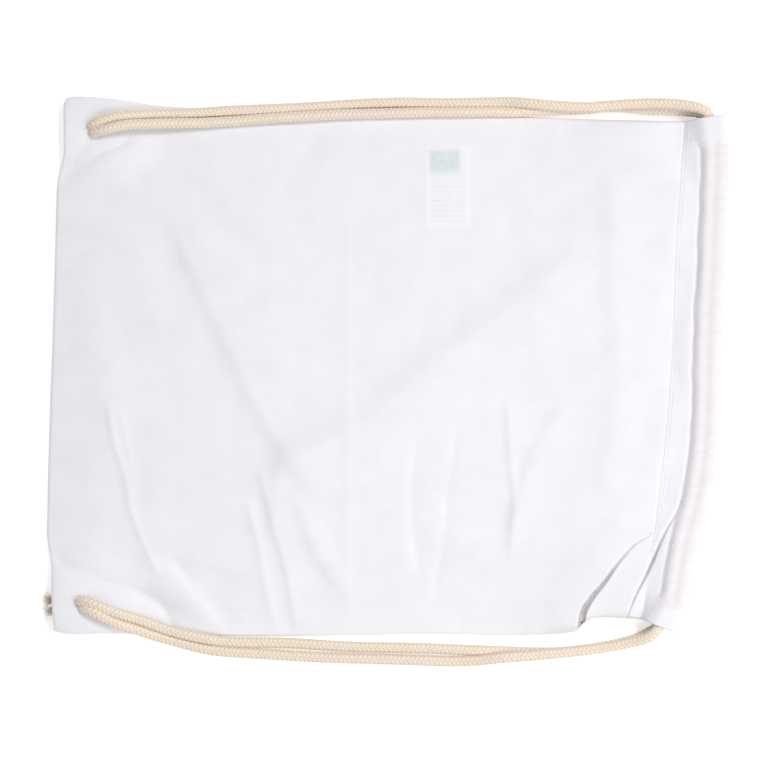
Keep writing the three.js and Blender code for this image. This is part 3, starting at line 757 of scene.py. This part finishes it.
def make_cord(side, route):
    line = cord_line(route)
    line = walk(line, np.linspace(0, 1, int(length_of(line) / PATH_STEP)))
    line[:, 2] = np.maximum(line[:, 2], LOWEST_CORD)
    tube_part = braided_tube(line, CORD_RADIUS)
    cord = make_piece(f"{side}_cord_braid", tube_part, braid, f"{side}_cord")


knots = {side: make_knot(side, hole) for side, hole in HOLES.items()}
make_cord("upper", UPPER_CORD)
make_cord("lower", LOWER_CORD)


# Pouch

outlines = (FOLD_EDGE, UPPER_SIDE, LOWER_SIDE, STITCH_LINE, MOUTH_EDGE)
fold_edge, upper_side, lower_side, stitch_line, mouth_edge = map(curve_through, outlines)
pouch_length = length_of(upper_side)
pouch_width = length_of(fold_edge)


def plan_at(u, v):
    """Places at shares u of the way to the mouth and v of the way to the lower side."""
    u_column, v_column = u[..., None], v[..., None]

    def between(start, end, share):
        return start + (end - start) * share

    lengthwise = between(walk(upper_side, u), walk(lower_side, u), v_column)
    crosswise = between(walk(fold_edge, v), walk(stitch_line, v), u_column)
    bottom_corners = between(fold_edge[0], fold_edge[-1], v_column)
    mouth_corners = between(stitch_line[0], stitch_line[-1], v_column)
    plan = lengthwise + crosswise - between(bottom_corners, mouth_corners, u_column)
    return plan[..., 0], plan[..., 1]


def edge_shares(cells, length, is_both):
    """Shares of a length in even cells, with finer ones at the closed edges."""
    start = np.array(EDGE_STEPS) / length
    end = 1 - start[::-1] if is_both else np.array([1.0])
    middle = np.linspace(start[-1], end[0], cells + 1)
    return np.concatenate([start[:-1], middle, end[1:]])


def near_hole(x, y, reach):
    distances = [np.hypot(x - hole["x"], y - hole["y"]) for hole in HOLES.values()]
    return np.exp(-((np.minimum(*distances) / reach) ** HOLE_FALL))


def away_from(distance, reach):
    return 1 - np.exp(-distance / reach)


def fold_rise(x, y, folds, power):
    """Height of the folds of a table, which fall to both sides of their lines."""
    height = np.zeros(x.shape)
    for rise, left, right, line in folds.values():
        leftward, beyond, _ = beside_line(x, y, curve_through(line, FOLD_STEPS))
        reach = np.where(leftward > 0, left, right)
        end = FOLD_END + FOLD_END_SHARE * (left + right)
        height += rise * np.exp(-((np.abs(leftward) / reach) ** power) - (beyond / end) ** 2)
    return height


def pleat_rise(x, y, pleat):
    """Height of a pleat's upper layer over its lower one."""
    leftward, beyond, share = beside_line(x, y, curve_through(pleat["line"], PLEAT_STEPS))
    near = np.exp(-((leftward / pleat["reach"]) ** 2) - (beyond / pleat["reach"]) ** 2)
    return np.where(leftward < 0, pleat["rise"] * smooth_step(share, 0, PLEAT_RISE_END) * near, 0)


def closed_edges(u, v):
    """Distance in from the bottom fold and from the nearer side."""
    return u * pouch_length, np.minimum(v, 1 - v) * pouch_width


def across_middle(v, reach):
    """1 in the middle between both sides, and 0 at them."""
    return away_from(v * pouch_width, reach) * away_from((1 - v) * pouch_width, reach)


def mouth_height(v):
    return MOUTH_EDGE_HEIGHT + (MOUTH_HEIGHT - MOUTH_EDGE_HEIGHT) * across_middle(v, MOUTH_REACH)


def back_height(x, y):
    return CORNER_LIFT * near_hole(x, y, CORNER_REACH)


def edge_middle(u):
    """Half of the height of the closed sides."""
    to_mouth = smooth_step(u, MOUTH_RISE_START, 1)
    return (EDGE_HEIGHT + (MOUTH_EDGE_HEIGHT - EDGE_HEIGHT) * to_mouth) / 2


def rounding(u, v):
    inward = np.clip(np.minimum(*closed_edges(u, v)) / EDGE_ROUND, 0, 1)
    return np.sqrt(1 - (1 - inward) ** 2)


def front_folds(x, y):
    """Folds of the front, fewer at the corner holes."""
    free = fold_rise(x, y, SOFT_FOLDS, SOFT_POWER) + fold_rise(x, y, SHARP_FOLDS, SHARP_POWER)
    free = free + waves("front", x, y) + waves("front, fine", x, y)
    return free * (1 - near_hole(x, y, PINCH_REACH)) + fold_rise(x, y, CORNER_FOLDS, SHARP_POWER)


def gathers(x, y, to_stitch):
    """Small gathers beside the mouth's stitch line."""
    return waves("gathers", x, y) * np.exp(-np.abs(to_stitch) / GATHER_REACH)


def mouth_relief(x, y):
    """Height of the pleats and dents on both the front and its casing."""
    return sum(pleat_rise(x, y, pleat) for pleat in PLEATS) + fold_rise(x, y, MOUTH_FOLDS, SOFT_POWER)


def seam_share(side_distance):
    """1 where the seam's allowance lies under the front."""
    return soft_edge(side_distance, SEAM_ALLOWANCE, -SEAM_SOFT)


def front_height(u, v, x, y):
    fold_distance, side_distance = closed_edges(u, v)
    puff = PUFF * across_middle(v, PUFF_REACH) * away_from(fold_distance, PUFF_REACH)
    puff = puff * (1 - near_hole(x, y, PINCH_REACH))
    folds = away_from(np.minimum(fold_distance, side_distance), FOLD_REACH) * front_folds(x, y)
    lying = back_height(x, y) + EDGE_HEIGHT + puff + folds
    to_mouth = smooth_step(u, MOUTH_RISE_START, 1)
    height = lying + (mouth_height(v) + folds * (1 - to_mouth) - lying) * to_mouth
    puckers = waves("puckers", x, y) * np.exp(-side_distance / PUCKER_REACH)
    to_stitch = (1 - u) * pouch_length
    mouth = gathers(x, y, to_stitch) - STITCH_GROOVE * np.exp(-((to_stitch / GROOVE_REACH) ** 2))
    relief = SEAM_RISE * seam_share(side_distance) + puckers + mouth_relief(x, y)
    return height + mouth + smooth_step(side_distance, 0, SIDE_FADE) * relief


def inside_box(x, y, box):
    """1 inside a box, falling to 0 over its soft edge."""
    middle_x, middle_y, half_x, half_y, soft = box
    over_x = soft_edge(np.abs(x - middle_x), half_x, -soft)
    return over_x * soft_edge(np.abs(y - middle_y), half_y, -soft)


def cut_holes(x, y, faces):
    """Moves the points around each corner hole to its edge and drops the faces in it."""
    inside = np.zeros(x.shape, bool)
    least, most = HOLE_RIM
    for hole in HOLES.values():
        turn = np.exp(1j * math.radians(hole["angle"]))
        place = (x - hole["x"] + 1j * (y - hole["y"])) / turn
        ratio = np.hypot(place.real / HOLE_ALONG, place.imag / HOLE_ACROSS)
        rim = (ratio > least) & (ratio < most)
        edge = place * turn / np.maximum(ratio, least)
        x, y = np.where(rim, hole["x"] + edge.real, x), np.where(rim, hole["y"] + edge.imag, y)
        inside |= ratio <= least
    return x, y, faces[~inside.ravel()[faces].any(axis=1)]


def sheet_grid(rows, columns):
    shares = edge_shares(rows, pouch_length, False), edge_shares(columns, pouch_width, True)
    u, v = np.meshgrid(*shares, indexing="ij")
    return u, v, *cut_holes(*plan_at(u, v), grid_faces(*u.shape))


def only_used(points, faces, tints):
    """Leaves out points that no face uses."""
    used, numbers = np.unique(faces, return_inverse=True)
    return points[used], numbers.reshape(-1, 4), {name: values[used] for name, values in tints.items()}


def all_tints(count, **shares):
    """A sheet's tints, none of those that have no shares here."""
    return {name: np.ravel(shares.get(name, np.zeros(count))) for name in TINTS}


def as_points(x, y, z):
    return np.stack([x, y, z], axis=-1).reshape(-1, 3)


def front_sheet():
    u, v, x, y, faces = sheet_grid(*FRONT_CELLS)
    label = inside_box(x, y, LABEL)
    low = back_height(x, y) + edge_middle(u)
    z = low + (front_height(u, v, x, y) + LABEL_RISE * label - low) * rounding(u, v)
    border = label - inside_box(x, y, LABEL_FIELD)
    seam = SEAM_TINT * seam_share(closed_edges(u, v)[1])
    doubled = np.maximum(LABEL_TINT * label + LABEL_BORDER_TINT * border, seam)
    block, lines = inside_box(x, y, LABEL_BLOCK), inside_box(x, y, LABEL_LINES)
    return as_points(x, y, z), faces, all_tints(x.size, doubled=doubled, block=block, lines=lines)


def back_sheet():
    u, v, x, y, faces = sheet_grid(*BACK_CELLS)
    round_in = rounding(u, v)
    z = back_height(x, y) + edge_middle(u) * (1 - round_in) + BACK_LIFT
    z = z + round_in * np.maximum(waves("back", x, y), 0)
    return only_used(as_points(x, y, z), faces[:, ::-1], all_tints(x.size))


# Casings


def tube_side(inward):
    """Height of a casing's round outer side over its middle."""
    return np.sqrt(np.clip(1 - (1 - inward / OUTER_LANE) ** 2, 0, 1)) * TUBE_HALF


def casing_top(station, inward, width, height, stitch_height):
    """Height of a casing's upper side: over both cords, then down to the hem."""
    is_end = smooth_step(np.abs(station - 0.5), *END_STATIONS)
    lane_share = (inward - OUTER_LANE) / (INNER_LANE - OUTER_LANE)
    between = TUBE_HALF - TUBE_DIP * (1 - is_end) * np.sin(math.pi * lane_share) ** 2
    tube_end = TUBE_END + waves("tube end", station * pouch_width, 0 * station) + END_SPREAD * is_end
    fall = np.clip((inward - INNER_LANE) / (tube_end - INNER_LANE), 0, 1) ** TUBE_FALL
    drop = np.interp(station, *HEM_DROP)
    inner = (TUBE_HALF + drop) * np.cos(math.pi / 2 * fall) - drop
    over = np.where(inward < INNER_LANE, between, inner)
    over = np.where(inward < OUTER_LANE, tube_side(inward), over)
    slope = np.clip((inward - tube_end) / (width - tube_end), 0, 1)
    dip = HEM_DIP * (1 - is_end) * np.exp(-(((inward - tube_end) / HEM_DIP_REACH) ** 2))
    dive = HEM_DIVE * smooth_step(inward - width, 0, 1)
    return (height + over) * (1 - slope) + stitch_height(station) * slope - dip - dive


def casing_bottom(station, inward, width, height, stitch_height):
    inner = -TUBE_HALF + (TUBE_HALF - HEM_UNDER) * smooth_step(inward, INNER_LANE, TUBE_END)
    slope = np.clip((inward - TUBE_END) / (width - TUBE_END), 0, 1)
    under = height + np.where(inward < OUTER_LANE, -tube_side(inward), inner)
    return under * (1 - slope) + (stitch_height(station) - HEM_THICKNESS) * slope


def casing_plan(station, inward):
    """Places so far in from the edge of the mouth, and the casing's width there."""
    edge = walk(mouth_edge, station)
    across = walk(stitch_line, station) - edge
    width = np.linalg.norm(across, axis=-1)
    place = edge + across * (inward / width)[..., None]
    return place[..., 0], place[..., 1], width


def end_hem(y):
    """1 on the hems at both ends of a casing."""
    return soft_edge(y, UPPER_END_HEM, END_HEM_SOFT) + soft_edge(y, LOWER_END_HEM, -END_HEM_SOFT)


def casing_ripple(x, y, inward, width):
    """Unevenness of a casing, none at its edges."""
    free = smooth_step(inward, 0, MOUTH_FADE) * smooth_step(width - inward, 0, HEM_FADE)
    return (waves("casing, fine", x, y) + waves("casing", x, y)) * free + END_HEM_RISE * end_hem(y)


def front_relief(x, y, inward, width):
    """Unevenness of the front casing, which meets that of the front."""
    shared = mouth_relief(x, y) * smooth_step(inward, TUBE_END, TUBE_END + RELIEF_FADE)
    return casing_ripple(x, y, inward, width) + gathers(x, y, width - inward) + shared


def front_stitch_height(station):
    return mouth_height(station) - STITCH_GROOVE


def cord_warmth(y, inward):
    """1 where the cords show through a casing."""
    return smooth_step(inward - TUBE_END, *WARM_EDGE) * (1 - end_hem(y))


def casing_sheet(height, stitch_height, relief):
    """A casing as one loop of cloth: from the stitch line over the top to the mouth and back under."""
    top_steps = np.concatenate([np.linspace(*HEM_STEPS), np.linspace(*TOP_STEPS), TOP_EDGE_STEPS])
    steps = np.concatenate([top_steps, UNDER_EDGE_STEPS, np.linspace(*UNDER_STEPS)])
    station, step = np.meshgrid(np.linspace(0, 1, CASING_STATIONS), steps, indexing="ij")
    _, _, width = casing_plan(station, 0 * station)
    inward = width * step
    x, y, _ = casing_plan(station, inward)
    is_top = np.arange(len(steps)) < len(top_steps)
    top = casing_top(station, inward, width, height, stitch_height) + relief(x, y, inward, width)
    bottom = np.minimum(casing_bottom(station, inward, width, height, stitch_height), top - 2 * CLOTH)
    z = np.maximum(np.where(is_top, top, bottom), CLOTH)
    # The upper end hem is made a little darker with the same tint as the painted shade
    shaded = END_HEM_SHADE * end_hem(y) * (y > 0) * is_top
    tints = all_tints(x.size, warm=cord_warmth(y, inward) * is_top, shaded=shaded)
    return as_points(x, y, z), grid_faces(*x.shape, is_loop=True)[:, ::-1], tints


# Pleats


def in_pleats(x, y):
    """Which places are in the way of a pleat's fold."""
    is_in = np.zeros(x.shape, bool)
    for pleat in PLEATS:
        leftward, beyond, share = beside_line(x, y, curve_through(pleat["line"], PLEAT_STEPS))
        width = np.interp(share, PLEAT_SHARES, pleat["widths"])
        near = (leftward > -STRIP_CUT) & (leftward < width + STRIP_CUT)
        is_in |= near & (beyond < STRIP_CUT_END)
    return is_in


def height_finder(sheets):
    """A function for the height of the uppermost sheet at places seen from above."""
    trees = [BVHTree.FromPolygons(points.tolist(), faces.tolist()) for points, faces, _ in sheets]

    def height_of(x, y):
        hits = [tree.ray_cast(Vector((x, y, ABOVE)), Vector((0, 0, -1)))[0] for tree in trees]
        return max((hit.z for hit in hits if hit), default=np.nan)

    return np.vectorize(height_of)


def onto_edge(points, height_at):
    """Moves points that are past the closed lower side onto it."""
    is_past = np.isnan(height_at(points[:, 0], points[:, 1]))
    share = np.linspace(0, 1, LOWER_EDGE_POINTS)
    x, y = plan_at(share, np.ones(share.shape))
    edge = as_points(x, y, back_height(x, y) + edge_middle(share))
    nearest = [np.hypot(*(edge[:, :2] - place).T).argmin() for place in points[is_past][:, :2]]
    points[is_past] = edge[nearest]
    return points


def strip_line(pleat):
    """Points along a pleat and past its ends, their shares of the way, and how open the fold is."""
    line = curve_through(pleat["line"], STRIP_STEPS)
    count = int(length_of(line) / STRIP_STEP)
    line = walk(line, np.linspace(0, 1, count))
    past = np.arange(1, STRIP_RUN_OUT + 1)[:, None]
    before = line[0] + (line[0] - line[1]) * past[::-1]
    after = line[-1] + (line[-1] - line[-2]) * past
    share = np.pad(np.linspace(0, 1, count), STRIP_RUN_OUT, mode="edge")
    opening = np.pad(np.ones(count + STRIP_RUN_OUT), (STRIP_RUN_OUT, 0), mode="linear_ramp")
    return np.vstack([before, line, after]), share, opening[:, None]


def pleat_strip(pleat, height_at):
    """A band along a pleat: over the upper layer's lip, into the fold and up onto the lower layer."""
    line, share, opening = strip_line(pleat)
    way = headings_along(line)
    left = np.stack([-way[:, 1], way[:, 0]], axis=1)
    width = np.interp(share, PLEAT_SHARES, pleat["widths"])[:, None] * opening
    depth = np.interp(share, PLEAT_SHARES, pleat["depths"])[:, None] * opening

    def place(across):
        return line[:, :1] + left[:, :1] * across, line[:, 1:] + left[:, 1:] * across

    def layer_height(across):
        return np.nan_to_num(height_at(*place(across)), nan=EDGE_HEIGHT / 2)

    margin, drop = PLEAT_MARGIN
    wall, wall_drop = PLEAT_WALL
    drop = np.where(drop > 0, drop * opening, drop)
    upper, lower = -margin + 0 * width, margin[::-1] + width
    upper_z, lower_z = layer_height(upper), layer_height(lower)
    lip_z = upper_z[:, -1:] + (lower_z[:, :1] - upper_z[:, -1:]) * np.clip(wall, 0, 1)
    z = np.hstack([upper_z - drop, lip_z - drop[:, -1:] - wall_drop * depth, lower_z - drop[:, ::-1]])
    z[0] -= STRIP_END_DROP
    x, y = place(np.hstack([upper, wall * width, lower]))
    # Painted shade on the fold's walls, darker the deeper they go
    dark = np.clip(wall_drop * depth / PLEAT_DARK, 0, PLEAT_DARKEST)
    shaded = np.pad(dark, ((0, 0), (len(margin), len(margin))))
    edge_x = np.interp(-y, -mouth_edge[:, 1], mouth_edge[:, 0])
    tints = all_tints(x.size, warm=cord_warmth(y, edge_x - x), shaded=shaded)
    points = onto_edge(as_points(x, y, np.maximum(z, CLOTH)), height_at)
    return points, grid_faces(*x.shape)[:, ::-1], tints


def cut_sheet(points, faces, tints):
    """A sheet without what is in the way of the pleats."""
    is_in = in_pleats(points[:, 0], points[:, 1])
    return only_used(points, faces[~is_in[faces].any(axis=1)], tints)


front_whole = front_sheet()
front_casing_whole = casing_sheet(FRONT_CASING_HEIGHT, front_stitch_height, front_relief)
back_casing_whole = casing_sheet(BACK_CASING_HEIGHT, lambda station: BACK_STITCH_HEIGHT, casing_ripple)
top_height = height_finder([front_whole, front_casing_whole])
strips = [pleat_strip(pleat, top_height) for pleat in PLEATS]

sheets = {
    "pouch_back": (back_sheet(), "pouch"),
    "pouch_front": (join_parts([cut_sheet(*front_whole), *strips]), "pouch"),
    "front_casing_hem": (cut_sheet(*front_casing_whole), "front_casing"),
    "back_casing_hem": (back_casing_whole, "back_casing"),
}
back, front, front_casing, back_casing = [
    make_piece(name, sheet, cloth, node, CLOTH) for name, (sheet, node) in sheets.items()
]


# Label and stitches


def make_label():
    """The label inside, just under the front."""
    u, v = np.meshgrid(*[np.linspace(*shares) for shares in LABEL_SHARES], indexing="ij")
    x, y = plan_at(u, v)
    points = as_points(x, y, front_height(u, v, x, y) - LABEL_DEPTH)
    part = (points, grid_faces(*u.shape), {"block": inside_box(x, y, LABEL_BLOCK).ravel()})
    label = make_piece("label_tape", part, tape, "care_label", LABEL_THICKNESS)


def stitch(start, end):
    """One stitch of thread from one needle hole to the next."""
    shares = np.linspace(0, 1, len(STITCH_ROUND))[:, None]
    line = start + (end - start) * shares
    line[:, 2:] += STITCH_LIFT * np.sin(math.pi * shares)
    return *tube(line, THREAD_RADIUS * np.array(STITCH_ROUND)[:, None], STITCH_SIDES), {}


def stitch_row(line):
    """Stitches along a line, with a small gap from each to the next."""
    count = int(length_of(line) / STITCH_PITCH)
    starts = walk(line, np.arange(count) / count)
    ends = walk(line, (np.arange(count) + STITCH_SHARE) / count)
    kept = ~in_pleats(starts[:, 0], starts[:, 1]) & ~in_pleats(ends[:, 0], ends[:, 1])
    return [stitch(start, end) for start, end, is_kept in zip(starts, ends, kept) if is_kept]


def casing_line(station, inward):
    """Points of thread on top of the front casing."""
    x, y, width = casing_plan(station, inward)
    z = casing_top(station, inward, width, FRONT_CASING_HEIGHT, front_stitch_height)
    return as_points(x, y, z + front_relief(x, y, inward, width) + THREAD_RADIUS / 4)


def make_stitches():
    """The hem's double row, the ends' hems and the arc above the lower end."""
    along = np.linspace(*ROW_ENDS, ROW_POINTS)
    _, _, width = casing_plan(along, 0 * along)
    rows = [casing_line(along, width - inset) for inset in STITCH_INSETS]
    edge_y = walk(mouth_edge, along)[:, 1]
    for hem in (UPPER_END_HEM, LOWER_END_HEM):
        station = np.interp(-hem, -edge_y, along)
        inward = np.linspace(CROSS_INSET, np.interp(station, along, width) - CROSS_INSET, CROSS_POINTS)
        rows.append(casing_line(np.full(inward.shape, station), inward))
    arc = [(np.interp(-y, -edge_y, along), inward) for y, inward in END_ARC]
    arc = walk(curve_through(arc), np.linspace(0, 1, CROSS_POINTS))
    rows.append(casing_line(arc[:, 0], arc[:, 1]))
    stitches = join_parts([part for row in rows for part in stitch_row(row)])
    make_piece("casing_stitches", stitches, thread)


make_label()
make_stitches()
